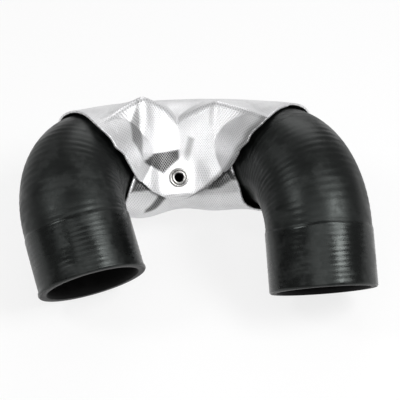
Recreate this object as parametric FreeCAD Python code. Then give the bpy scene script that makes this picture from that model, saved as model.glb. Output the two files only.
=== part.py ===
import FreeCAD, Part
import math
import os

Vector = FreeCAD.Vector

# All lengths are in millimetres and all angles in degrees.

# The hose's wall: a plain bore with a cuff at each end that stands a little above the body
bore_diameter = 50.0
cuff_wall = 4.5
body_wall = 4.0
left_cuff_length = 33.0
right_cuff_length = 34.0
crease_length = 0.8
rim_chamfer = 0.6
left_lip_rise = 0.7
left_lip_length = 2.2

# The left leg, from the middle of its mouth up to the corner of its elbow
left_mouth_x = -58.0
left_mouth_y = -29.5
left_leg_length = 65.5
left_leg_slope = 34.0
left_leg_turn = 20.0
left_elbow_radius = 40.0

# The right leg
right_mouth_x = 67.0
right_mouth_y = -31.5
right_leg_length = 68.5
right_leg_slope = 42.0
right_leg_turn = 5.5
right_elbow_radius = 46.0

# The back bend that joins the two arms and rests on the ground in its sleeve
back_corner_x = -7.5
back_bend_radius = 56.0
arm_straight = 8.6

# The sleeve's cloth and how loosely it sits
cloth_thickness = 1.2
sleeve_slack = 0.5
front_clearance = 0.8
edge_flare = 2.6
flare_angle = 36.0
flare_turn = 120.0
edge_lift = 0.6
lift_angle = 40.0
lift_turn = 330.0
layer_gap = 1.0
fan_setback = 60.0
front_slack = 16.0
front_squareness = 3.0
side_spread = 26.0

# Where the cloth starts behind the flap and where the flap ends, as turns around the hose
start_turn = -14.0
tip_turn = 390.0
tip_round_turn = 350.0
tip_fullness = 1.25
tip_bluntness = 0.7
tip_last_row = 0.93
lap_begin_turn = 296.0
lap_end_turn = 336.0

# The cloth's half-widths as seen from the fan's axis: turn, left edge, right edge
edge_stations = [
    (-14.0, 21.0, 20.0),
    (30.0, 30.0, 26.0),
    (90.0, 33.0, 29.0),
    (180.0, 35.5, 34.0),
    (245.0, 40.0, 39.5),
    (270.0, 42.0, 40.0),
    (312.0, 43.5, 40.0),
    (335.0, 41.0, 36.0),
    (350.0, 35.0, 30.0),
]

# The crease where the top of the sleeve turns down into its front: fan angle, forward and up from the hose's middle
crease_stations = [
    (-42.0, 18.0, 24.0),
    (-30.0, 19.0, 27.0),
    (-15.6, 24.0, 35.5),
    (-11.0, 24.0, 32.0),
    (-7.0, 24.0, 27.4),
    (-3.2, 24.5, 21.0),
    (1.0, 24.5, 24.5),
    (6.5, 24.0, 29.0),
    (12.0, 24.0, 32.5),
    (16.0, 23.0, 30.8),
    (26.0, 20.0, 26.7),
    (42.0, 18.0, 24.0),
]
crease_rise_angle = 96.0
crease_foot_angle = -26.0
foot_ease = 12.0

# Folds in the cloth: fan angle, turn, half-width, half-length and height of each
folds = [
    (-15.6, 335.0, 5.0, 20.0, 2.0),
    (36.0, 262.0, 8.0, 40.0, 0.8),
    (-16.0, 58.0, 10.0, 30.0, 5.0),
    (9.0, 50.0, 9.0, 26.0, 2.5),
]

# The eyelet through both layers
eyelet_angle = -3.5
eyelet_turn = 375.0
eyelet_hole_diameter = 5.4
eyelet_barrel_wall = 0.45
eyelet_flange_diameter = 11.0
eyelet_roll_height = 1.3
eyelet_groove_diameter = 8.0
eyelet_groove_height = 0.4
eyelet_ring_height = 1.0
eyelet_flare_height = 0.7
eyelet_flare_rise = 0.9
washer_diameter = 11.0
washer_thickness = 0.8
barrel_clearance = 0.2
seat_clearance = 0.12
clamped_gap = 0.45
flat_margin = 3.0
flat_fade = 9.0
clamp_turn = 45.0
full_turn = 360.0

# How finely the cloth is followed
cloth_columns = 20
turn_step = 8.0
tip_rows = 9

bore_radius = bore_diameter / 2
cuff_radius = bore_radius + cuff_wall
body_radius = bore_radius + body_wall


def leg_direction(slope, turn):
    """The way from an elbow's corner to its mouth."""
    level = math.cos(math.radians(slope))
    return Vector(
        level * math.sin(math.radians(turn)),
        -level * math.cos(math.radians(turn)),
        -math.sin(math.radians(slope)),
    )


def rim_drop(radius, slope):
    """How far the lowest point of a chamfered rim lies below the middle of its mouth."""
    level, steep = math.cos(math.radians(slope)), math.sin(math.radians(slope))
    return max((radius - rim_chamfer) * level, radius * level - rim_chamfer * steep)


class Bend:
    """An arc of one radius, tangent to the two straight runs that meet at a corner."""

    def __init__(self, before, corner, after, radius):
        self.radius = radius
        self.back = (before - corner).normalize()
        self.ahead = (after - corner).normalize()
        self.turn = math.pi - self.back.getAngle(self.ahead)
        reach = radius * math.tan(self.turn / 2)
        self.start = corner + self.back * reach
        self.end = corner + self.ahead * reach
        self.inward = (self.back + self.ahead).normalize()
        self.centre = corner + self.inward * (radius / math.cos(self.turn / 2))
        self.middle = self.centre - self.inward * radius
        self.axis = self.ahead.cross(self.back).normalize()


# The corners of the hose's path, with both rims and the sleeved bend standing on the ground
left_axis = leg_direction(left_leg_slope, left_leg_turn)
right_axis = leg_direction(right_leg_slope, right_leg_turn)
left_mouth = Vector(left_mouth_x, left_mouth_y, rim_drop(cuff_radius + left_lip_rise, left_leg_slope))
right_mouth = Vector(right_mouth_x, right_mouth_y, rim_drop(cuff_radius, right_leg_slope))
left_corner = left_mouth - left_axis * left_leg_length
right_corner = right_mouth - right_axis * right_leg_length
bend_height = body_radius + sleeve_slack + cloth_thickness
back_corner = Vector(back_corner_x, 2 * back_bend_radius, 0)
for settling in range(200):
    back_bend = Bend(left_corner, back_corner, right_corner, back_bend_radius)
    left_elbow = Bend(left_mouth, left_corner, back_corner, left_elbow_radius)
    right_elbow = Bend(back_corner, right_corner, right_mouth, right_elbow_radius)
    left_arm = (back_bend.start - left_elbow.end).dot(left_elbow.ahead)
    right_arm = (right_elbow.start - back_bend.end).dot(back_bend.ahead)
    back_corner.y += (arm_straight - min(left_arm, right_arm)) / 2
    back_corner.z += bend_height - back_bend.middle.z


def run(radius, start, end):
    return Part.makeCylinder(radius, (end - start).Length, start, end - start)


def bent(radius, bend):
    ring = Part.makeCircle(radius, bend.start, bend.back)
    disc = Part.Face(Part.Wire(ring))
    return disc.revolve(bend.centre, bend.axis, math.degrees(bend.turn))


def path_solid(radius, start, end):
    """A solid round bar along the whole path from one point on the left leg to one on the right."""
    pieces = [
        run(radius, start, left_elbow.start),
        bent(radius, left_elbow),
        run(radius, left_elbow.end, back_bend.start),
        bent(radius, back_bend),
        run(radius, back_bend.end, right_elbow.start),
        bent(radius, right_elbow),
        run(radius, right_elbow.end, end),
    ]
    bar = pieces[0].fuse(pieces[1:])
    return bar.removeSplitter()


def cuff(mouth, axis, length, lip_rise, lip_length):
    """A turned sleeve of rubber, from its rim back to the crease where the body starts."""
    lip_radius = cuff_radius + lip_rise
    outline = [
        (0, 0),
        (lip_radius - rim_chamfer, 0),
        (lip_radius, rim_chamfer),
    ]
    if lip_rise > 0:
        outline.append((lip_radius, lip_length))
        outline.append((cuff_radius, lip_length + 2 * lip_rise))
    outline += [(cuff_radius, length - crease_length), (body_radius, length), (0, length)]
    inward = axis * -1
    across = inward.cross(Vector(0, 0, 1)).normalize()
    corners = [mouth + across * radius + inward * along for radius, along in outline]
    profile = Part.Face(Part.makePolygon(corners + corners[:1]))
    return profile.revolve(mouth, inward, 360)


# The hose
bar = path_solid(body_radius, left_mouth - left_axis * rim_chamfer, right_mouth - right_axis * rim_chamfer)
bar = bar.fuse([
    cuff(left_mouth, left_axis, left_cuff_length, left_lip_rise, left_lip_length),
    cuff(right_mouth, right_axis, right_cuff_length, 0, 0),
])
core = path_solid(bore_radius, left_mouth + left_axis, right_mouth + right_axis)
hose = bar.cut(core).removeSplitter()

# The sleeve is laid out in fan planes that stand on the back bend's plane
# Its frame: across to the right, back away from the legs, and up
fan_back = back_bend.inward * -1
fan_up = back_bend.axis if back_bend.axis.z > 0 else back_bend.axis * -1
fan_across = fan_back.cross(fan_up).normalize()
fan_origin = back_bend.centre - fan_back * fan_setback
half_turn = back_bend.turn / 2


def smooth_step(low, high, value):
    share = min(1.0, max(0.0, (value - low) / (high - low)))
    return share * share * (3 - 2 * share)


def hose_section(fan):
    """Where a fan plane meets the hose's middle line, and how much the cut stretches its round section."""
    side = abs(fan)
    offset = fan_setback * math.sin(side)
    reach = fan_setback * math.cos(side) + math.sqrt(back_bend_radius ** 2 - offset ** 2)
    place = math.atan2(reach * math.sin(side), reach * math.cos(side) - fan_setback)
    if place > half_turn:
        place = half_turn
        reach = (back_bend_radius + fan_setback * math.cos(place)) / math.cos(place - side)
    return reach, 1 / math.cos(place - side)


def edge_angles(turn):
    """The fan angles of the cloth's left and right edges at one turn, above the flap's tip."""
    for (turn_a, left_a, right_a), (turn_b, left_b, right_b) in zip(edge_stations, edge_stations[1:]):
        if turn <= turn_b:
            break
    share = smooth_step(turn_a, turn_b, turn)
    return -(left_a + (left_b - left_a) * share), right_a + (right_b - right_a) * share


def cloth_rows():
    """Each row of the cloth, as its turn and the fan angles of its two edges."""
    rows = []
    count = int(round((tip_round_turn - start_turn) / turn_step))
    for row in range(count):
        turn = start_turn + (tip_round_turn - start_turn) * row / count
        rows.append((turn,) + edge_angles(turn))
    left, right = edge_angles(tip_round_turn)
    for row in range(tip_rows + 1):
        along = math.sin(math.pi / 2 * tip_last_row * row / tip_rows)
        width = (1 - along ** tip_fullness) ** tip_bluntness
        turn = tip_round_turn + (tip_turn - tip_round_turn) * along
        centre = eyelet_angle * along
        rows.append((turn, centre + left * width, centre + right * width))
    return rows


def fold_height(fan_degrees, turn):
    """The folds lift every layer that lies over them."""
    height = 0.0
    for fold_fan, fold_turn, half_width, half_length, rise in folds:
        across = (fan_degrees - fold_fan) / half_width
        along = ((turn - fold_turn + 180) % 360 - 180) / half_length
        height += rise * math.exp(-across ** 2 - along ** 2)
    return height


def crease_place(fan_degrees):
    """Where the crease is in one fan plane, forward and up from the hose's middle."""
    for (fan_a, forward_a, up_a), (fan_b, forward_b, up_b) in zip(crease_stations, crease_stations[1:]):
        if fan_degrees <= fan_b:
            break
    share = (fan_degrees - fan_a) / (fan_b - fan_a)
    return Vector(forward_a + (forward_b - forward_a) * share, up_a + (up_b - up_a) * share, 0)


def base_radius(fan_degrees, angle):
    """The wrap without its crease, as a distance from the hose's middle, and the least distance."""
    stretch = hose_section(math.radians(fan_degrees))[1]
    spread = math.exp(-(fan_degrees / side_spread) ** 4)
    along, up = math.cos(angle), math.sin(angle)
    height = body_radius + sleeve_slack
    depth = body_radius * stretch + sleeve_slack
    snug = ((along / depth) ** 2 + (up / height) ** 2) ** -0.5
    if along <= 0:
        return snug, snug
    power = 2 + (front_squareness - 2) * spread
    depth += front_slack * spread
    return (abs(along / depth) ** power + abs(up / height) ** power) ** (-1 / power), snug


def polar(radius, angle):
    return Vector(radius * math.cos(angle), radius * math.sin(angle), 0)


def on_line(start, end, angle):
    """How far a ray at an angle goes until it meets the line through two points."""
    way = end - start
    return (start.x * way.y - start.y * way.x) / (math.cos(angle) * way.y - math.sin(angle) * way.x)


def run_distance(start, end, point):
    """How far a point is from a straight run of the hose's middle line."""
    way = end - start
    share = min(1.0, max(0.0, (point - start).dot(way) / way.dot(way)))
    return (start + way * share).distanceToPoint(point)


def bend_distance(bend, point):
    """How far a point is from a bend of the hose's middle line, or from its nearer end."""
    offset = point - bend.centre
    height = offset.dot(bend.axis)
    level = offset - bend.axis * height
    if level.Length * math.cos(bend.turn / 2) > -level.dot(bend.inward):
        return min(bend.start.distanceToPoint(point), bend.end.distanceToPoint(point))
    return math.hypot(level.Length - bend.radius, height)


def hose_distance(point):
    """How far a point is from the sleeved part of the hose's middle line."""
    return min(
        bend_distance(left_elbow, point),
        run_distance(left_elbow.end, back_bend.start, point),
        bend_distance(back_bend, point),
        run_distance(back_bend.end, right_elbow.start, point),
        bend_distance(right_elbow, point),
    )


def wrap_radius(fan_degrees, angle):
    """The wrap with its crease, before folds, as a distance from the hose's middle at an angle above its front."""
    crease = crease_place(fan_degrees)
    crease_angle = math.atan2(crease.y, crease.x)
    rise_angle = math.radians(crease_rise_angle)
    foot_angle = math.radians(crease_foot_angle)
    if crease_angle <= angle < rise_angle:
        rise = polar(base_radius(fan_degrees, rise_angle)[0], rise_angle)
        return on_line(rise, crease, angle)
    if foot_angle < angle < crease_angle:
        foot = polar(base_radius(fan_degrees, foot_angle)[0], foot_angle)
        return on_line(crease, foot, angle)
    return base_radius(fan_degrees, angle)[0]


def eased_radius(fan_degrees, angle):
    """The wrap with the foot of its front face rounded off."""
    from_foot = abs(math.degrees(angle) - crease_foot_angle)
    window = math.radians(foot_ease) * (1 - smooth_step(foot_ease, 2.5 * foot_ease, from_foot))
    samples = [wrap_radius(fan_degrees, angle + window * share) for share in (-1.0, -0.5, 0.0, 0.5, 1.0)]
    return sum(samples) / len(samples)


def wrap_point(fan_degrees, turn):
    """A point on the loose wrap around the hose that every layer of the cloth follows."""
    fan = math.radians(fan_degrees)
    reach = hose_section(fan)[0]
    angle = math.radians((180 - turn) % 360 - 180)
    snug = base_radius(fan_degrees, angle)[1]
    radius = max(snug, eased_radius(fan_degrees, angle) + fold_height(fan_degrees, turn))
    lower = (1 + math.cos(math.radians(turn - flare_turn))) / 2
    upper = (1 + math.cos(math.radians(turn - lift_turn))) / 2
    radius += edge_flare * lower * (fan_degrees / flare_angle) ** 4
    radius += edge_lift * upper ** 2 * (fan_degrees / lift_angle) ** 6
    clearance = body_radius + sleeve_slack + front_clearance * max(0.0, math.cos(angle))
    for settling in range(6):
        out = reach - radius * math.cos(angle)
        point = (
            fan_origin
            + fan_across * (out * math.sin(fan))
            + fan_back * (out * math.cos(fan))
            + fan_up * (radius * math.sin(angle))
        )
        radius += max(0.0, clearance - hose_distance(point))
    return point


def wrap_normal(fan_degrees, turn):
    """The way out of the wrap, from two short steps along it."""
    step = 2.0
    along_fan = wrap_point(fan_degrees + step, turn) - wrap_point(fan_degrees - step, turn)
    along_turn = wrap_point(fan_degrees, turn + step) - wrap_point(fan_degrees, turn - step)
    return along_turn.cross(along_fan).normalize()


def cloth_point(fan_degrees, turn, level):
    """A point in the cloth, at a level above its lining. The flap is lifted over the layer that starts under it."""
    lift = (cloth_thickness + layer_gap) * smooth_step(lap_begin_turn, lap_end_turn, turn)
    return wrap_point(fan_degrees, turn) + wrap_normal(fan_degrees, turn) * (lift + level)


eyelet_axis = wrap_normal(eyelet_angle, eyelet_turn)
eyelet_seat = cloth_point(eyelet_angle, eyelet_turn, 0)
flat_radius = max(eyelet_flange_diameter, washer_diameter) / 2 + flat_margin


def pressed_flat(point, level):
    """The eyelet clamps the cloth flat around itself, at one level along its axis."""
    offset = point - eyelet_seat
    along = offset.dot(eyelet_axis)
    away = (offset - eyelet_axis * along).Length
    hold = 1 - smooth_step(flat_radius, flat_radius + flat_fade, away)
    return point + eyelet_axis * ((level - along) * hold)


def cloth_points(level):
    """The rows of points on one face of the cloth, from its start behind the flap to the flap's tip."""
    rows = []
    for turn, left, right in cloth_rows():
        points = []
        for column in range(cloth_columns + 1):
            fan_degrees = left + (right - left) * column / cloth_columns
            point = cloth_point(fan_degrees, turn, level)
            if turn > eyelet_turn - clamp_turn:
                point = pressed_flat(point, level)
            elif turn < eyelet_turn - full_turn + clamp_turn:
                point = pressed_flat(point, level - clamped_gap - cloth_thickness)
            points.append(point)
        rows.append(points)
    return rows


def cloth_face(points):
    surface = Part.BSplineSurface()
    surface.interpolate(points)
    return surface


def edge_strip(face_a, face_b, side):
    """The cut edge of the cloth along one side of its two faces."""
    ends = []
    for surface in (face_a, face_b):
        first_u, last_u, first_v, last_v = surface.bounds()
        curves = {
            "start": surface.uIso(first_u),
            "tip": surface.uIso(last_u),
            "left": surface.vIso(first_v),
            "right": surface.vIso(last_v),
        }
        ends.append(curves[side].toShape())
    return Part.makeRuledSurface(ends[0], ends[1])


# The heat sleeve
lining = cloth_face(cloth_points(0))
facing = cloth_face(cloth_points(cloth_thickness))
skins = [lining.toShape(), facing.toShape()]
skins += [edge_strip(lining, facing, side) for side in ("start", "tip", "left", "right")]
shell = Part.makeShell(skins)
shell.sewShape()
sleeve = Part.makeSolid(shell)
barrel_radius = eyelet_hole_diameter / 2 + eyelet_barrel_wall
punch_length = 4 * (cloth_thickness + layer_gap)
punch = Part.makeCylinder(
    barrel_radius + barrel_clearance,
    2 * punch_length,
    eyelet_seat - eyelet_axis * punch_length,
    eyelet_axis,
)
heat_sleeve = sleeve.cut(punch)

# Levels along the eyelet's axis, from the flap's outer face to the back of the washer
flange_level = cloth_thickness + seat_clearance
washer_front = -clamped_gap - cloth_thickness - seat_clearance
washer_back = washer_front - washer_thickness
flare_level = washer_back - seat_clearance
hole_radius = eyelet_hole_diameter / 2
flange_radius = eyelet_flange_diameter / 2
flare_radius = barrel_radius + eyelet_flare_rise
eyelet_across = eyelet_axis.cross(fan_up).normalize()


def eyelet_place(radius, level):
    return eyelet_seat + eyelet_across * radius + eyelet_axis * level


def turned(edges):
    profile = Part.Face(Part.Wire(edges))
    return profile.revolve(eyelet_seat, eyelet_axis, 360)


def line(start, end):
    return Part.LineSegment(eyelet_place(*start), eyelet_place(*end)).toShape()


def arc(start, through, end):
    return Part.Arc(eyelet_place(*start), eyelet_place(*through), eyelet_place(*end)).toShape()


# The eyelet: a rolled rim round the hole, a groove and a raised ring in front, and its barrel flared over the washer
groove_radius = eyelet_groove_diameter / 2
groove_level = flange_level + eyelet_groove_height
roll_middle = (hole_radius + groove_radius) / 2
ring_middle = (groove_radius + flange_radius) / 2
flare_end = flare_level - eyelet_flare_height
eyelet = turned([
    arc((hole_radius, flange_level), (roll_middle, flange_level + eyelet_roll_height), (groove_radius, groove_level)),
    arc((groove_radius, groove_level), (ring_middle, flange_level + eyelet_ring_height), (flange_radius, flange_level)),
    line((flange_radius, flange_level), (barrel_radius, flange_level)),
    line((barrel_radius, flange_level), (barrel_radius, flare_level)),
    line((barrel_radius, flare_level), (flare_radius, flare_level)),
    line((flare_radius, flare_level), (hole_radius, flare_end)),
    line((hole_radius, flare_end), (hole_radius, flange_level)),
])

# The washer behind the body layer
washer_hole = barrel_radius + barrel_clearance
eyelet_washer = turned([
    line((washer_hole, washer_front), (washer_diameter / 2, washer_front)),
    line((washer_diameter / 2, washer_front), (washer_diameter / 2, washer_back)),
    line((washer_diameter / 2, washer_back), (washer_hole, washer_back)),
    line((washer_hole, washer_back), (washer_hole, washer_front)),
])

# The origin is on the ground, under the middle of the whole part
parts = {
    "hose": hose,
    "heat_sleeve": heat_sleeve,
    "eyelet": eyelet,
    "eyelet_washer": eyelet_washer,
}
box = Part.makeCompound(list(parts.values())).optimalBoundingBox(False)
shift = Vector(-box.Center.x, -box.Center.y, -box.ZMin)
os.makedirs("parts", exist_ok=True)
for name, shape in parts.items():
    shape.translate(shift)
    shape.exportStep("parts/" + name + ".step")
    print(name, shape.ShapeType, "valid", shape.isValid(), "solids", len(shape.Solids), round(shape.Volume, 1))
print("size", round(box.XLength, 2), round(box.YLength, 2), round(box.ZLength, 2), "lowest", round(box.ZMin, 3))
print("shift", round(shift.x, 3), round(shift.y, 3), round(shift.z, 3))
print("bends", [round(math.degrees(bend.turn), 1) for bend in (left_elbow, back_bend, right_elbow)])
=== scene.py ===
import math

import bmesh
import bpy
from mathutils import Matrix, Vector, noise


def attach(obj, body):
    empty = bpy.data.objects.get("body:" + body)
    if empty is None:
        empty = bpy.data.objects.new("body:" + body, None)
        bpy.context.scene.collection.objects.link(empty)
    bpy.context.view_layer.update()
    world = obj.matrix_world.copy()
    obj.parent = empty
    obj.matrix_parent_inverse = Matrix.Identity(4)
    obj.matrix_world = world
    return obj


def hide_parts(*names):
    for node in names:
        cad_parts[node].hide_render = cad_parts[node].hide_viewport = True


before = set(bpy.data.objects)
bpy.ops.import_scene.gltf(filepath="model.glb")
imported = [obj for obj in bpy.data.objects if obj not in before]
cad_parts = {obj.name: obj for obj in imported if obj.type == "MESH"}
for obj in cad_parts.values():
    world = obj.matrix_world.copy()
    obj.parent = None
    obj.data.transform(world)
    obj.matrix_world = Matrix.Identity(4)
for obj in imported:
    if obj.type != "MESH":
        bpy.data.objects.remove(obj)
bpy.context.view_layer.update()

scene = bpy.context.scene
scene.view_settings.view_transform = "Standard"

# Hose
# A black rubber coolant hose, moulded in one piece with two elbows and a wide back bend.
# It was cured in a tight tape wrap, which left fine rings, and its cut ends are cuffs for two clamps.

# The corners of its middle line, from the left mouth to the right one, and the radius at each, in metres
hose_corners = [
    Vector((-0.056516, -0.05891, 0.024758)),
    Vector((-0.07509, -0.00789, 0.061385)),
    Vector((-0.00602, 0.10558, -0.00124)),
    Vector((0.063605, -0.01024, 0.06741)),
    Vector((0.06848, -0.06091, 0.02158)),
]
bend_radii = [0.040, 0.056, 0.046]
bore_radius = 0.025
body_radius = 0.029
cuff_radius = 0.0295
left_cuff_length = 0.033
right_cuff_length = 0.034
crease_length = 0.0016
crease_wave = 0.0006
rim_round = 0.0006
lip_rise = 0.0007
lip_length = 0.0029
mouth_ease = 0.0008
ring_step = 0.0007
ring_sides = 96
bore_steps = 4
wrap_pitch = 0.0028
wrap_height = 0.00010
cuff_wrap_height = 0.000045

# How the wrap marks vary from place to place, and how the lip fades towards the top of its mouth
mark_mean = 0.6
mark_change = 1.2
marks_around = 2
marks_along = 140
lip_flat_share = 0.6
lip_fade_begin = 0.9
lip_fade_end = -0.2

# The waves in the crease at a cuff's end: how many round the hose, where they begin, and how strong
crease_waves = [(3, 0.6, 1.0), (7, 0.0, 0.5)]

# The places of the cut ends' and the bore's rubber in the hose's list of materials
cut_rubber_index = 1
bore_rubber_index = 2


class Bend:
    """An arc between the two runs that meet at a corner."""

    def __init__(self, before, corner, after, radius):
        back = (before - corner).normalized()
        ahead = (after - corner).normalized()
        self.radius = radius
        self.turn = math.pi - back.angle(ahead)
        self.inward = (back + ahead).normalized()
        self.axis = ahead.cross(back).normalized()
        self.centre = corner + self.inward * (radius / math.cos(self.turn / 2))
        self.start = corner + back * (radius * math.tan(self.turn / 2))
        self.end = corner + ahead * (radius * math.tan(self.turn / 2))
        self.length = radius * self.turn


bends = []
for before, corner, after, radius in zip(hose_corners, hose_corners[1:], hose_corners[2:], bend_radii):
    bends.append(Bend(before, corner, after, radius))
left_elbow, back_bend, right_elbow = bends

# The left mouth's own frame, and where its top is as an angle around the hose
first_way = (left_elbow.start - hose_corners[0]).normalized()
first_turn = first_way.to_track_quat("Z", "Y").to_matrix().to_4x4()
first_place = Matrix.Translation(hose_corners[0]) @ first_turn
top_way = first_turn.inverted() @ Vector((0, 0, 1))
lip_top = math.atan2(top_way.y, top_way.x)


def run_moves(start, end):
    """The short moves that carry a ring of the hose along a straight run."""
    count = math.ceil((end - start).length / ring_step)
    move = Matrix.Translation((end - start) / count)
    return [((end - start).length / count, move)] * count


def bend_moves(bend):
    """The short turns that carry a ring of the hose round a bend."""
    count = math.ceil(bend.length / ring_step)
    turn = Matrix.Rotation(bend.turn / count, 4, bend.axis)
    move = Matrix.Translation(bend.centre) @ turn @ Matrix.Translation(-bend.centre)
    return [(bend.length / count, move)] * count


hose_moves = run_moves(hose_corners[0], left_elbow.start)
hose_moves += bend_moves(left_elbow)
hose_moves += run_moves(left_elbow.end, back_bend.start)
hose_moves += bend_moves(back_bend)
hose_moves += run_moves(back_bend.end, right_elbow.start)
hose_moves += bend_moves(right_elbow)
hose_moves += run_moves(right_elbow.end, hose_corners[-1])
hose_length = sum(length for length, move in hose_moves)


def smooth_step(low, high, value):
    share = min(1.0, max(0.0, (value - low) / (high - low)))
    return share * share * (3 - 2 * share)


def cuff_share(along, around):
    """How far a place on the hose belongs to a cuff. The crease at a cuff's end wanders a little."""
    waves = [strength * math.sin(count * around + begin) for count, begin, strength in crease_waves]
    wave = crease_wave * sum(waves)
    left = smooth_step(left_cuff_length + wave, left_cuff_length - crease_length + wave, along)
    right_crease = hose_length - right_cuff_length
    right = smooth_step(right_crease + wave, right_crease + crease_length + wave, along)
    return max(left, right)


def hose_radius(along, around):
    """The outer radius: cuffs, rounded rims, the lip under the left mouth and the tape's wrap marks."""
    share = cuff_share(along, around)
    radius = body_radius + (cuff_radius - body_radius) * share
    lip_share = smooth_step(lip_fade_begin, lip_fade_end, math.cos(around - lip_top))
    radius += lip_rise * lip_share * (1 - smooth_step(lip_length * lip_flat_share, lip_length, along))
    from_rim = min(along, hose_length - along)
    if from_rim < rim_round:
        radius -= rim_round - math.sqrt(rim_round ** 2 - (rim_round - from_rim) ** 2)
    lay = along / wrap_pitch - around / (2 * math.pi)
    spot = Vector((marks_around * math.cos(around), marks_around * math.sin(around), along * marks_along))
    uneven = mark_mean + mark_change * noise.noise(spot)
    ripple = wrap_height + (cuff_wrap_height - wrap_height) * share
    return radius + ripple * uneven * math.cos(2 * math.pi * lay)


def of_kind(drawn, kind):
    """The vertices, edges or faces among what an operator has drawn."""
    return [item for item in drawn if isinstance(item, kind)]


def new_verts(drawn):
    return of_kind(drawn, bmesh.types.BMVert)


def new_faces(drawn):
    return of_kind(drawn, bmesh.types.BMFace)


def new_ring(drawn):
    """The edges of the new ring at the end of a drawn-out tube."""
    fresh = set(new_verts(drawn))
    edges = of_kind(drawn, bmesh.types.BMEdge)
    return [edge for edge in edges if edge.verts[0] in fresh and edge.verts[1] in fresh]


def set_radius(vert, centre, radius):
    """Moves a vertex of a ring straight in or out, to a distance from the ring's centre."""
    vert.co = centre + (vert.co - centre).normalized() * radius


def finished_piece(mesh, name, materials):
    """Keeps a bmesh as a smooth object at the origin, with its materials in order."""
    kept = bpy.data.meshes.new(name)
    mesh.to_mesh(kept)
    mesh.free()
    kept.shade_smooth()
    piece = bpy.data.objects.new(name, kept)
    scene.collection.objects.link(piece)
    for material in materials:
        kept.materials.append(material)
    return piece


hose_mesh = bmesh.new()
around_layer = hose_mesh.verts.layers.float.new("around")
cuff_layer = hose_mesh.verts.layers.float.new("cuff")
lay_layer = hose_mesh.verts.layers.float_vector.new("lay")
circle = bmesh.ops.create_circle(hose_mesh, segments=ring_sides, radius=body_radius, matrix=first_place)
for vert in circle["verts"]:
    spot = first_place.inverted() @ vert.co
    vert[around_layer] = math.atan2(spot.y, spot.x)
first_ring = list(hose_mesh.edges)

# The outer skin is drawn out ring by ring, from the left mouth to the right one
ring = first_ring
along = 0.0
centre = hose_corners[0].copy()
skin_places = [(circle["verts"], along, centre.copy())]
for length, move in hose_moves:
    drawn = bmesh.ops.extrude_edge_only(hose_mesh, edges=ring)["geom"]
    bmesh.ops.transform(hose_mesh, matrix=move, verts=new_verts(drawn))
    ring = new_ring(drawn)
    along += length
    centre = move @ centre
    skin_places.append((new_verts(drawn), along, centre.copy()))

# The rim at the right mouth, then the bore back to the left mouth, and the left rim
drawn = bmesh.ops.extrude_edge_only(hose_mesh, edges=ring)["geom"]
rim_faces = new_faces(drawn)
for vert in new_verts(drawn):
    set_radius(vert, centre, bore_radius + mouth_ease)
ring = new_ring(drawn)
bore_faces = []
back_moves = [move.inverted() for length, move in reversed(hose_moves)]
for first in range(0, len(back_moves), bore_steps):
    whole = Matrix.Identity(4)
    for move in back_moves[first:first + bore_steps]:
        whole = move @ whole
    drawn = bmesh.ops.extrude_edge_only(hose_mesh, edges=ring)["geom"]
    bmesh.ops.transform(hose_mesh, matrix=whole, verts=new_verts(drawn))
    bore_faces += new_faces(drawn)
    centre = whole @ centre
    at_mouth = first + bore_steps >= len(back_moves)
    for vert in new_verts(drawn):
        set_radius(vert, centre, bore_radius + (mouth_ease if at_mouth else 0.0))
    ring = new_ring(drawn)
rim_faces += bmesh.ops.bridge_loops(hose_mesh, edges=first_ring + ring)["faces"]

# The skin takes its final radius everywhere
for verts, along, centre in skin_places:
    for vert in verts:
        around = vert[around_layer]
        set_radius(vert, centre, hose_radius(along, around))
        vert[cuff_layer] = cuff_share(along, around)
        vert[lay_layer] = Vector((math.cos(around) * body_radius, math.sin(around) * body_radius, along))
for face in rim_faces:
    face.material_index = cut_rubber_index
for face in bore_faces:
    face.material_index = bore_rubber_index
bmesh.ops.recalc_face_normals(hose_mesh, faces=hose_mesh.faces)


def new_material(name):
    """A node material with only its shader and output."""
    material = bpy.data.materials.new(name)
    material.use_nodes = True
    return material, material.node_tree, material.node_tree.nodes["Principled BSDF"]


def node(tree, kind, **values):
    """Adds a node and sets its inputs and settings by name."""
    made = tree.nodes.new("ShaderNode" + kind)
    for name, value in values.items():
        label = name.replace("_", " ").title()
        if label in made.inputs:
            made.inputs[label].default_value = value
        else:
            setattr(made, name, value)
    return made


def object_noise(tree, scale, detail, roughness=0.5):
    """Noise on the piece's own coordinates, as a value."""
    place = node(tree, "TexCoord")
    made = node(tree, "TexNoise", scale=scale, detail=detail, roughness=roughness)
    tree.links.new(place.outputs["Object"], made.inputs["Vector"])
    return made.outputs["Fac"]


def ramp(tree, source, stops):
    """A colour ramp fed by a value."""
    made = tree.nodes.new("ShaderNodeValToRGB")
    while len(made.color_ramp.elements) < len(stops):
        made.color_ramp.elements.new(0.5)
    for element, (place, colour) in zip(made.color_ramp.elements, stops):
        element.position = place
        element.color = colour
    tree.links.new(source, made.inputs["Fac"])
    return made.outputs["Color"]


def blended(tree, kind, first, second, share=None):
    """Two colours blended all over, or by a share of the second."""
    made = node(tree, "Mix", data_type="RGBA", blend_type=kind)
    made.inputs[0].default_value = 1.0
    tree.links.new(first, made.inputs[6])
    tree.links.new(second, made.inputs[7])
    if share:
        tree.links.new(share, made.inputs[0])
    return made.outputs[2]


def grey(level):
    return (level, level, level, 1.0)


def bump(tree, shader, height, strength, distance):
    """Bump from a height, on the shader's normal."""
    made = node(tree, "Bump", strength=strength, distance=distance)
    tree.links.new(height, made.inputs["Height"])
    tree.links.new(made.outputs["Normal"], shader.inputs["Normal"])


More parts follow.
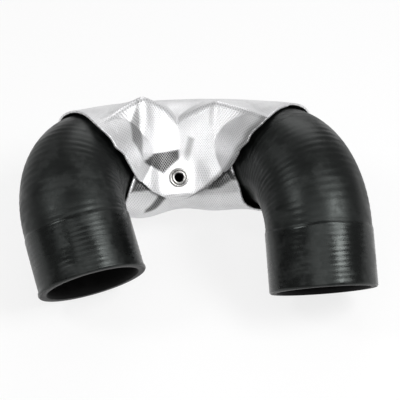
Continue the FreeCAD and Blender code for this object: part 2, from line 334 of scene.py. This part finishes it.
rubber, rubber_tree, rubber_shader = new_material("wrap_cured_rubber")
lay = node(rubber_tree, "Attribute", attribute_name="lay")
streaks = node(rubber_tree, "Mapping", scale=(90, 90, 520))
rubber_tree.links.new(lay.outputs["Vector"], streaks.inputs["Vector"])
streak_noise = node(rubber_tree, "TexNoise", scale=1.0, detail=4.0, roughness=0.6)
rubber_tree.links.new(streaks.outputs["Vector"], streak_noise.inputs["Vector"])
smudge_noise = object_noise(rubber_tree, scale=52.0, detail=5.0, roughness=0.6)
clean_rubber = (0.004, 0.0043, 0.0042, 1)
handled_rubber = (0.005, 0.0054, 0.0052, 1)
dusty_rubber = (0.014, 0.0148, 0.0145, 1)
smudge_stops = [(0.40, clean_rubber), (0.53, handled_rubber), (0.60, dusty_rubber)]
smudges = ramp(rubber_tree, smudge_noise, smudge_stops)
streak_tint = ramp(rubber_tree, streak_noise.outputs["Fac"], [(0.3, grey(0.75)), (0.7, grey(1.25))])
tinted = blended(rubber_tree, "MULTIPLY", smudges, streak_tint)
rubber_tree.links.new(tinted, rubber_shader.inputs["Base Color"])
cuff = node(rubber_tree, "Attribute", attribute_name="cuff")
gloss = node(rubber_tree, "MapRange", to_min=0.38, to_max=0.24)
rubber_tree.links.new(cuff.outputs["Fac"], gloss.inputs["Value"])
patch_dullness = 0.12
dull_patches = ramp(rubber_tree, smudge_noise, [(0.46, grey(0.0)), (0.55, grey(1.0))])
gloss_change = node(rubber_tree, "Math", operation="MULTIPLY_ADD")
gloss_change.inputs[1].default_value = patch_dullness
rubber_tree.links.new(dull_patches, gloss_change.inputs[0])
rubber_tree.links.new(gloss.outputs["Result"], gloss_change.inputs[2])
rubber_tree.links.new(gloss_change.outputs[0], rubber_shader.inputs["Roughness"])
rubber_shader.inputs["Specular IOR Level"].default_value = 0.33
rubber_shader.inputs["Specular Tint"].default_value = (0.92, 1.0, 0.97, 1)
bump(rubber_tree, rubber_shader, streak_noise.outputs["Fac"], strength=0.22, distance=0.0004)

cut_rubber, cut_tree, cut_shader = new_material("cut_rubber_end")
cut_noise = object_noise(cut_tree, scale=420.0, detail=4.0, roughness=0.7)
cut_colour = ramp(cut_tree, cut_noise, [(0.3, grey(0.008)), (0.6, grey(0.02)), (0.8, grey(0.07))])
cut_tree.links.new(cut_colour, cut_shader.inputs["Base Color"])
cut_shader.inputs["Roughness"].default_value = 0.62
bump(cut_tree, cut_shader, cut_noise, strength=0.5, distance=0.0004)

bore_rubber, bore_tree, bore_shader = new_material("smooth_bore_rubber")
bore_noise = object_noise(bore_tree, scale=140.0, detail=3.0, roughness=0.6)
bore_colour = ramp(bore_tree, bore_noise, [(0.3, grey(0.002)), (0.7, grey(0.005))])
bore_tree.links.new(bore_colour, bore_shader.inputs["Base Color"])
bore_shader.inputs["Roughness"].default_value = 0.7
bore_shader.inputs["Specular IOR Level"].default_value = 0.15
bump(bore_tree, bore_shader, bore_noise, strength=0.2, distance=0.0004)

hose = finished_piece(hose_mesh, "moulded_hose", [rubber, cut_rubber, bore_rubber])
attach(hose, "root")
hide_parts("hose")

# Heat sleeve
# Woven glass cloth with a bright aluminised face and a near-black inner face, wrapped once round the back
# bend.
# Its pointed flap laps over the start of the wrap in front and is held there by an eyelet.

# Lengths are in metres and angles in degrees. A fan angle is a place along the back bend,
# seen from the fan's axis in front of it. A turn is a place round the hose:
# 0 in front, 90 below, 180 behind, 270 on top and 360 in front again.
cloth_thickness = 0.0012
sleeve_slack = 0.0005
front_clearance = 0.0008
edge_flare = 0.0026
flare_angle = 36.0
flare_turn = 120.0
flare_power = 4
edge_lift = 0.0002
lift_angle = 40.0
lift_turn = 330.0
lift_power = 6
layer_gap = 0.0010
fan_setback = 0.060
front_slack = 0.016
front_squareness = 3.0
side_spread = 26.0
spread_power = 4
clearing_steps = 6
start_turn = -14.0
tip_turn = 390.0
tip_round_turn = 350.0
tip_fullness = 1.25
tip_bluntness = 0.7
tip_last_row = 0.93
tip_share = 0.12
lap_begin_turn = 296.0
lap_end_turn = 336.0
cloth_columns = 150
cloth_row_count = 310
cloth_smoothings = 3

# The cloth's half-widths as seen from the fan's axis: turn, left edge, right edge, in degrees
edge_stations = [
    (-14.0, 21.0, 20.0),
    (30.0, 30.0, 26.0),
    (90.0, 33.0, 29.0),
    (180.0, 35.5, 34.0),
    (245.0, 40.0, 39.5),
    (270.0, 41.0, 39.0),
    (312.0, 43.0, 39.5),
    (335.0, 41.0, 36.0),
    (350.0, 35.0, 30.0),
]

# The crease where the top of the sleeve turns down into its front:
# fan angle, then forward and up from the hose's middle
crease_stations = [
    (-42.0, 0.0180, 0.0240),
    (-30.0, 0.0190, 0.0270),
    (-15.6, 0.0240, 0.0355),
    (-11.0, 0.0240, 0.0320),
    (-7.0, 0.0240, 0.0274),
    (-3.2, 0.0258, 0.0182),
    (1.0, 0.0250, 0.0232),
    (6.5, 0.0240, 0.0282),
    (12.0, 0.0240, 0.0312),
    (16.0, 0.0230, 0.0298),
    (26.0, 0.0200, 0.0267),
    (42.0, 0.0180, 0.0240),
]
crease_rise_angle = 96.0
crease_foot_angle = -26.0
foot_ease = 12.0
foot_fade = 30.0
ease_shares = (-1.0, -0.5, 0.0, 0.5, 1.0)

# Folds in the cloth: fan angle, turn, half-width and half-length in degrees, height, and slant
folds = [
    (-19.0, 332.0, 3.2, 22.0, 0.0020, -0.11),
    (12.2, 317.0, 1.6, 9.0, 0.0006, 0.05),
    (36.0, 262.0, 8.0, 40.0, 0.0008, 0.0),
    (-16.0, 58.0, 10.0, 30.0, 0.0050, 0.0),
    (9.0, 50.0, 9.0, 26.0, 0.0025, 0.0),
]

# Places where dark reflections and shade are painted on the bright face as dark weave:
# how far, then the corners as fan angle and turn
painted_dark_reflections = [
    (1.0, [(-21.9, 357.0), (-14.5, 352.5), (-3.0, 351.5), (-3.2, 361.5), (-10.5, 371.5)]),
    (0.5, [(1.5, 338.0), (4.0, 340.0), (1.5, 364.0), (-1.0, 362.0)]),
    (0.7, [(-27.0, 338.0), (-23.0, 318.0), (-17.5, 304.0), (-18.5, 322.0), (-22.3, 354.0)]),
    (0.95, [(-28.0, 24.0), (-24.0, 8.0), (-16.0, 21.0)]),
    (0.95, [(-13.0, 25.5), (-8.0, 25.5), (-13.5, 36.0), (-18.5, 41.0), (-18.5, 37.0)]),
    (0.95, [(9.0, 23.0), (18.5, 2.0), (26.0, 13.0), (15.0, 21.5)]),
]
painted_reflection_fade = 0.9

# Painted shade lies along the flap's right border too, evenly in its core and then less, in shares of the
# cloth's width
border_core = 0.017
border_share = 0.085
border_painted_shade = 0.7
border_turn = 305.0

# The eyelet's place in the cloth
eyelet_angle = -3.5
eyelet_turn = 375.0
eyelet_hole = 0.0034
hole_reach = 0.01
clamped_gap = 0.00045
flat_radius = 0.0085
flat_fade = 0.009
clamp_turn = 45.0
full_turn = 360.0

fan_back = back_bend.inward * -1
fan_up = back_bend.axis if back_bend.axis.z > 0 else back_bend.axis * -1
fan_across = fan_back.cross(fan_up).normalized()
fan_origin = back_bend.centre - fan_back * fan_setback
half_turn = back_bend.turn / 2


def hose_section(fan):
    """Where a fan plane meets the hose's middle line, and how much the cut stretches the section."""
    side = abs(fan)
    offset = fan_setback * math.sin(side)
    reach = fan_setback * math.cos(side) + math.sqrt(back_bend.radius ** 2 - offset ** 2)
    place = math.atan2(reach * math.sin(side), reach * math.cos(side) - fan_setback)
    if place > half_turn:
        place = half_turn
        reach = (back_bend.radius + fan_setback * math.cos(place)) / math.cos(place - side)
    return reach, 1 / math.cos(place - side)


def edge_angles(turn):
    """The fan angles of the cloth's left and right edges at one turn, above the flap's tip."""
    for (turn_a, left_a, right_a), (turn_b, left_b, right_b) in zip(edge_stations, edge_stations[1:]):
        if turn <= turn_b:
            break
    share = smooth_step(turn_a, turn_b, turn)
    return -(left_a + (left_b - left_a) * share), right_a + (right_b - right_a) * share


def cloth_row(share):
    """One row of the cloth, as its turn and the fan angles of its two edges."""
    if share < 1 - tip_share:
        turn = start_turn + (tip_round_turn - start_turn) * share / (1 - tip_share)
        return (turn,) + edge_angles(turn)
    left, right = edge_angles(tip_round_turn)
    along = math.sin(math.pi / 2 * tip_last_row * (share - 1 + tip_share) / tip_share)
    width = (1 - along ** tip_fullness) ** tip_bluntness
    turn = tip_round_turn + (tip_turn - tip_round_turn) * along
    return turn, eyelet_angle * along + left * width, eyelet_angle * along + right * width


def fold_height(fan_degrees, turn):
    """The folds lift every layer that lies over them."""
    height = 0.0
    for fold_fan, fold_turn, half_width, half_length, rise, slant in folds:
        from_fold = (turn - fold_turn + 180) % 360 - 180
        across = (fan_degrees - fold_fan - slant * from_fold) / half_width
        along = from_fold / half_length
        height += rise * math.exp(-across ** 2 - along ** 2)
    return height


def painted_reflection_share(fan_degrees, turn, from_edge):
    """How far dark reflection and shade are painted on the cloth at a place, in its painted places and
    along the flap's right border.
    """
    painted_reflection = 0.0
    if turn > border_turn:
        painted_reflection = border_painted_shade * (1 - smooth_step(border_core, border_share, from_edge))
    for depth, corners in painted_dark_reflections:
        inside = painted_reflection_fade
        for (fan_a, turn_a), (fan_b, turn_b) in zip(corners, corners[1:] + corners[:1]):
            side = (fan_b - fan_a) * (turn - turn_a) - (turn_b - turn_a) * (fan_degrees - fan_a)
            inside = min(inside, side / math.hypot(fan_b - fan_a, turn_b - turn_a))
        painted_reflection = max(painted_reflection, depth * smooth_step(-painted_reflection_fade, painted_reflection_fade, inside))
    return painted_reflection


def crease_place(fan_degrees):
    """Where the crease is in one fan plane, forward and up from the hose's middle."""
    for (fan_a, forward_a, up_a), (fan_b, forward_b, up_b) in zip(crease_stations, crease_stations[1:]):
        if fan_degrees <= fan_b:
            break
    share = (fan_degrees - fan_a) / (fan_b - fan_a)
    return Vector((forward_a + (forward_b - forward_a) * share, up_a + (up_b - up_a) * share))


def base_radius(fan_degrees, angle):
    """The loose wrap without its crease, as a distance from the hose's middle, and the least distance."""
    stretch = hose_section(math.radians(fan_degrees))[1]
    spread = math.exp(-(fan_degrees / side_spread) ** spread_power)
    along, up = math.cos(angle), math.sin(angle)
    height = body_radius + sleeve_slack
    depth = body_radius * stretch + sleeve_slack
    snug = ((along / depth) ** 2 + (up / height) ** 2) ** -0.5
    if along <= 0:
        return snug, snug
    power = 2 + (front_squareness - 2) * spread
    depth += front_slack * spread
    return (abs(along / depth) ** power + abs(up / height) ** power) ** (-1 / power), snug


def on_line(start, end, angle):
    """How far a ray at an angle goes until it meets the line through two points."""
    way = end - start
    return (start.x * way.y - start.y * way.x) / (math.cos(angle) * way.y - math.sin(angle) * way.x)


def polar(radius, angle):
    return Vector((radius * math.cos(angle), radius * math.sin(angle)))


def run_distance(start, end, point):
    """How far a point is from a straight run of the hose's middle line."""
    way = end - start
    share = min(1.0, max(0.0, (point - start).dot(way) / way.length_squared))
    return (start + way * share - point).length


def bend_distance(bend, point):
    """How far a point is from a bend of the hose's middle line, or from its nearer end."""
    offset = point - bend.centre
    height = offset.dot(bend.axis)
    level = offset - bend.axis * height
    if level.length * math.cos(bend.turn / 2) > -level.dot(bend.inward):
        return min((bend.start - point).length, (bend.end - point).length)
    return math.hypot(level.length - bend.radius, height)


def hose_distance(point):
    """How far a point is from the sleeved part of the hose's middle line."""
    return min(
        bend_distance(left_elbow, point),
        run_distance(left_elbow.end, back_bend.start, point),
        bend_distance(back_bend, point),
        run_distance(back_bend.end, right_elbow.start, point),
        bend_distance(right_elbow, point),
    )


def wrap_radius(fan_degrees, angle):
    """The wrap with its crease, before its folds, as a distance from the hose's middle."""
    crease = crease_place(fan_degrees)
    crease_angle = math.atan2(crease.y, crease.x)
    rise_angle = math.radians(crease_rise_angle)
    foot_angle = math.radians(crease_foot_angle)
    if crease_angle <= angle < rise_angle:
        rise = polar(base_radius(fan_degrees, rise_angle)[0], rise_angle)
        return on_line(rise, crease, angle)
    if foot_angle < angle < crease_angle:
        foot = polar(base_radius(fan_degrees, foot_angle)[0], foot_angle)
        return on_line(crease, foot, angle)
    return base_radius(fan_degrees, angle)[0]


def eased_radius(fan_degrees, angle):
    """The wrap with the foot of its front face rounded off."""
    from_foot = abs(math.degrees(angle) - crease_foot_angle)
    window = math.radians(foot_ease) * (1 - smooth_step(foot_ease, foot_fade, from_foot))
    samples = [wrap_radius(fan_degrees, angle + window * share) for share in ease_shares]
    return sum(samples) / len(samples)


def wrap_point(fan_degrees, turn):
    """A point on the loose wrap around the hose that every layer of the cloth follows."""
    fan = math.radians(fan_degrees)
    reach = hose_section(fan)[0]
    angle = math.radians((180 - turn) % 360 - 180)
    snug = base_radius(fan_degrees, angle)[1]
    radius = max(snug, eased_radius(fan_degrees, angle) + fold_height(fan_degrees, turn))
    lower = (1 + math.cos(math.radians(turn - flare_turn))) / 2
    upper = (1 + math.cos(math.radians(turn - lift_turn))) / 2
    radius += edge_flare * lower * (fan_degrees / flare_angle) ** flare_power
    radius += edge_lift * upper ** 2 * (fan_degrees / lift_angle) ** lift_power
    clearance = body_radius + sleeve_slack + front_clearance * max(0.0, math.cos(angle))
    for step in range(clearing_steps):
        out = reach - radius * math.cos(angle)
        flat_place = fan_across * (out * math.sin(fan)) + fan_back * (out * math.cos(fan))
        point = fan_origin + flat_place + fan_up * (radius * math.sin(angle))
        short = clearance - hose_distance(point)
        if short <= 0:
            break
        radius += short
    return point


def wrap_normal(fan_degrees, turn):
    """The way out of the wrap, from two short steps along it."""
    step = 2.0
    along_fan = wrap_point(fan_degrees + step, turn) - wrap_point(fan_degrees - step, turn)
    along_turn = wrap_point(fan_degrees, turn + step) - wrap_point(fan_degrees, turn - step)
    return along_turn.cross(along_fan).normalized()


def cloth_point(fan_degrees, turn, level):
    """A point in the cloth, at a level above its lining. The flap is lifted over the layer under it."""
    lift = (cloth_thickness + layer_gap) * smooth_step(lap_begin_turn, lap_end_turn, turn)
    return wrap_point(fan_degrees, turn) + wrap_normal(fan_degrees, turn) * (lift + level)


eyelet_axis = wrap_normal(eyelet_angle, eyelet_turn)
eyelet_seat = cloth_point(eyelet_angle, eyelet_turn, 0)


def eyelet_distance(point):
    """How far a point is from the eyelet's axis, and how far along it."""
    offset = point - eyelet_seat
    along = offset.dot(eyelet_axis)
    return (offset - eyelet_axis * along).length, along


def pressed_flat(point, level):
    """The eyelet clamps the cloth flat around itself, at one level along its axis."""
    away, along = eyelet_distance(point)
    hold = 1 - smooth_step(flat_radius, flat_radius + flat_fade, away)
    return point + eyelet_axis * ((level - along) * hold)


sleeve_mesh = bmesh.new()
bmesh.ops.create_grid(sleeve_mesh, x_segments=cloth_columns, y_segments=cloth_row_count, size=0.5)
flat_layer = sleeve_mesh.verts.layers.float_vector.new("flat_lay")
# This layer holds how far dark reflection and shade are painted into the foil at each point
painted_reflection_layer = sleeve_mesh.verts.layers.float.new("painted_reflection")
for vert in sleeve_mesh.verts:
    turn, left, right = cloth_row(vert.co.y + 0.5)
    fan_degrees = left + (right - left) * (vert.co.x + 0.5)
    point = cloth_point(fan_degrees, turn, cloth_thickness)
    if turn > eyelet_turn - clamp_turn:
        point = pressed_flat(point, cloth_thickness)
    elif turn < eyelet_turn - full_turn + clamp_turn:
        point = pressed_flat(point, -clamped_gap)
    reach = hose_section(math.radians(fan_degrees))[0]
    out = reach - body_radius * math.cos(math.radians(turn))
    vert[flat_layer] = Vector((math.radians(fan_degrees) * out, math.radians(turn) * body_radius, 0))
    vert[painted_reflection_layer] = painted_reflection_share(fan_degrees, turn, 0.5 - vert.co.x)
    vert.co = point
punched = []
for face in sleeve_mesh.faces:
    away, along = eyelet_distance(face.calc_center_median())
    if away < eyelet_hole and abs(along) < hole_reach:
        punched.append(face)
bmesh.ops.delete(sleeve_mesh, geom=punched, context="FACES")
inner_verts = [vert for vert in sleeve_mesh.verts if not vert.is_boundary]
all_axes = {"use_axis_x": True, "use_axis_y": True, "use_axis_z": True}
for smoothing in range(cloth_smoothings):
    bmesh.ops.smooth_vert(sleeve_mesh, verts=inner_verts, factor=0.5, **all_axes)
bmesh.ops.recalc_face_normals(sleeve_mesh, faces=sleeve_mesh.faces)
if max(sleeve_mesh.faces, key=lambda face: face.calc_center_median().z).normal.z < 0:
    bmesh.ops.reverse_faces(sleeve_mesh, faces=sleeve_mesh.faces)

foil, foil_tree, foil_shader = new_material("aluminised_glass_cloth")
flat_lay = node(foil_tree, "Attribute", attribute_name="flat_lay")
thread_angles = (45, -45)
thread_pitch = 0.0011
# A wave of scale 1 has one band in every pi / 10
thread_scale = math.pi / (10 * thread_pitch)
weave = node(foil_tree, "Math", operation="MAXIMUM")
for thread, degrees in enumerate(thread_angles):
    turned = node(foil_tree, "Mapping", rotation=(0, 0, math.radians(degrees)))
    foil_tree.links.new(flat_lay.outputs["Vector"], turned.inputs["Vector"])
    bands = {"wave_type": "BANDS", "bands_direction": "X", "wave_profile": "SIN"}
    wave = node(foil_tree, "TexWave", scale=thread_scale, distortion=0.6, **bands)
    foil_tree.links.new(turned.outputs["Vector"], wave.inputs["Vector"])
    foil_tree.links.new(wave.outputs["Fac"], weave.inputs[thread])
dull_noise = object_noise(foil_tree, scale=55.0, detail=4.0, roughness=0.6)
dull_foil = (0.78, 0.78, 0.79, 1)
plain_foil = (0.88, 0.88, 0.89, 1)
bright_foil = (0.92, 0.92, 0.93, 1)
foil_colour = ramp(foil_tree, dull_noise, [(0.3, dull_foil), (0.55, plain_foil), (0.75, bright_foil)])
thread_gaps = ramp(foil_tree, weave.outputs[0], [(0.35, grey(0.75)), (0.8, grey(1.0))])
woven = blended(foil_tree, "MULTIPLY", foil_colour, thread_gaps)
# Dark weave is painted into the foil's colour as dark reflection and shade, as far as the vertex layer
# says
painted_reflection = node(foil_tree, "Attribute", attribute_name="painted_reflection")
painted_reflection_threads = [(0.5, grey(0.012)), (0.85, grey(0.05)), (1.0, grey(0.28))]
painted_reflection_weave = ramp(foil_tree, weave.outputs[0], painted_reflection_threads)
woven_with_painted_reflection = blended(foil_tree, "MIX", woven, painted_reflection_weave, painted_reflection.outputs["Fac"])
foil_tree.links.new(woven_with_painted_reflection, foil_shader.inputs["Base Color"])
foil_shader.inputs["Metallic"].default_value = 0.6
foil_shader.inputs["Roughness"].default_value = 0.40
bump(foil_tree, foil_shader, weave.outputs[0], strength=0.5, distance=0.0002)

# The cloth's inner face is coloured near black
lining, lining_tree, lining_shader = new_material("near_black_inner_face")
lining_noise = object_noise(lining_tree, scale=900.0, detail=3.0)
lining_colour = ramp(lining_tree, lining_noise, [(0.3, grey(0.006)), (0.7, grey(0.02))])
lining_tree.links.new(lining_colour, lining_shader.inputs["Base Color"])
lining_shader.inputs["Roughness"].default_value = 0.85
bump(lining_tree, lining_shader, lining_noise, strength=0.6, distance=0.0005)

sleeve = finished_piece(sleeve_mesh, "heat_sleeve_cloth", [foil, lining])
wall = sleeve.modifiers.new("cloth_thickness", "SOLIDIFY")
wall.thickness = cloth_thickness
wall.offset = -1.0
wall.material_offset = 1
wall.material_offset_rim = 0
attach(sleeve, "root")
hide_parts("heat_sleeve")

# Eyelet and its washer
# A pressed and plated steel eyelet through both layers of the sleeve,
# with its barrel flared over a flat washer behind them.

plated, plated_tree, plated_shader = new_material("plated_steel")
wear_noise = object_noise(plated_tree, scale=500.0, detail=4.0, roughness=0.6)
dull_plating = (0.34, 0.335, 0.33, 1)
bright_plating = (0.52, 0.515, 0.50, 1)
plated_colour = ramp(plated_tree, wear_noise, [(0.3, dull_plating), (0.6, bright_plating)])
plated_tree.links.new(plated_colour, plated_shader.inputs["Base Color"])
plated_shader.inputs["Metallic"].default_value = 1.0
wear_gloss = ramp(plated_tree, wear_noise, [(0.3, grey(0.36)), (0.7, grey(0.22))])
plated_tree.links.new(wear_gloss, plated_shader.inputs["Roughness"])
for name in ("eyelet", "eyelet_washer"):
    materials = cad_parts[name].data.materials
    materials.clear()
    materials.append(plated)

# Stage
# A plain white paper floor, which shows white and still takes the shadow, and soft studio light.

floor_reach = 3.0
floor_glow = 0.8
lamp_aim = Vector((0, 0, 0.04))

floor_mesh = bmesh.new()
bmesh.ops.create_grid(floor_mesh, x_segments=1, y_segments=1, size=floor_reach)
paper, paper_tree, paper_shader = new_material("white_paper")
paper_shader.inputs["Base Color"].default_value = grey(0.9)
paper_shader.inputs["Roughness"].default_value = 0.9
light_path = node(paper_tree, "LightPath")
seen = light_path.outputs["Is Camera Ray"]
for kind in ("Is Glossy Ray", "Is Transmission Ray"):
    either = node(paper_tree, "Math", operation="MAXIMUM")
    paper_tree.links.new(seen, either.inputs[0])
    paper_tree.links.new(light_path.outputs[kind], either.inputs[1])
    seen = either.outputs[0]
shown_share = node(paper_tree, "Math", operation="MULTIPLY")
shown_share.inputs[1].default_value = floor_glow
paper_tree.links.new(seen, shown_share.inputs[0])
plain_white = node(paper_tree, "Emission", color=grey(1.0), strength=1.0)
paper_mix = node(paper_tree, "MixShader")
paper_tree.links.new(shown_share.outputs[0], paper_mix.inputs[0])
paper_tree.links.new(paper_shader.outputs[0], paper_mix.inputs[1])
paper_tree.links.new(plain_white.outputs[0], paper_mix.inputs[2])
paper_tree.links.new(paper_mix.outputs[0], paper_tree.nodes["Material Output"].inputs["Surface"])
floor = finished_piece(floor_mesh, "paper_floor", [paper])

world = bpy.data.worlds.new("studio")
scene.world = world
world.use_nodes = True
backdrop = world.node_tree.nodes["Background"]
backdrop.inputs["Color"].default_value = grey(0.8)
backdrop.inputs["Strength"].default_value = 0.25


def soft_box(name, place, size, watts):
    """A square lamp that looks at the hose."""
    lamp = bpy.data.lights.new(name, "AREA")
    lamp.shape = "SQUARE"
    lamp.size = size
    lamp.energy = watts
    holder = bpy.data.objects.new(name, lamp)
    scene.collection.objects.link(holder)
    holder.location = place
    holder.rotation_euler = (lamp_aim - Vector(place)).to_track_quat("-Z", "Y").to_euler()


soft_box("overhead_box", (0.56, -0.31, 0.74), size=0.38, watts=6.6)
soft_box("left_box", (-0.70, -0.16, 0.77), size=0.28, watts=2.4)
soft_box("front_box", (-0.06, -0.80, 0.95), size=0.8, watts=3.3)
soft_box("back_box", (0.1, 0.9, 0.6), size=0.6, watts=2.2)

# Camera
# It looks down on the hose from in front, as the photograph does.

camera_aim = Vector((0.00148, -0.02941, 0.059))
camera_distance = 0.800
camera_elevation = math.radians(40.0)
sensor_width = 36.0
picture_width = 400
lens_in_pixels = 1479
camera_data = bpy.data.cameras.new("camera")
camera_data.sensor_width = sensor_width
camera_data.lens = sensor_width * lens_in_pixels / picture_width
camera = bpy.data.objects.new("camera", camera_data)
scene.collection.objects.link(camera)
camera_way = Vector((0, -math.cos(camera_elevation), math.sin(camera_elevation)))
camera.location = camera_aim + camera_way * camera_distance
camera.rotation_euler = (-camera_way).to_track_quat("-Z", "Y").to_euler()
scene.camera = camera
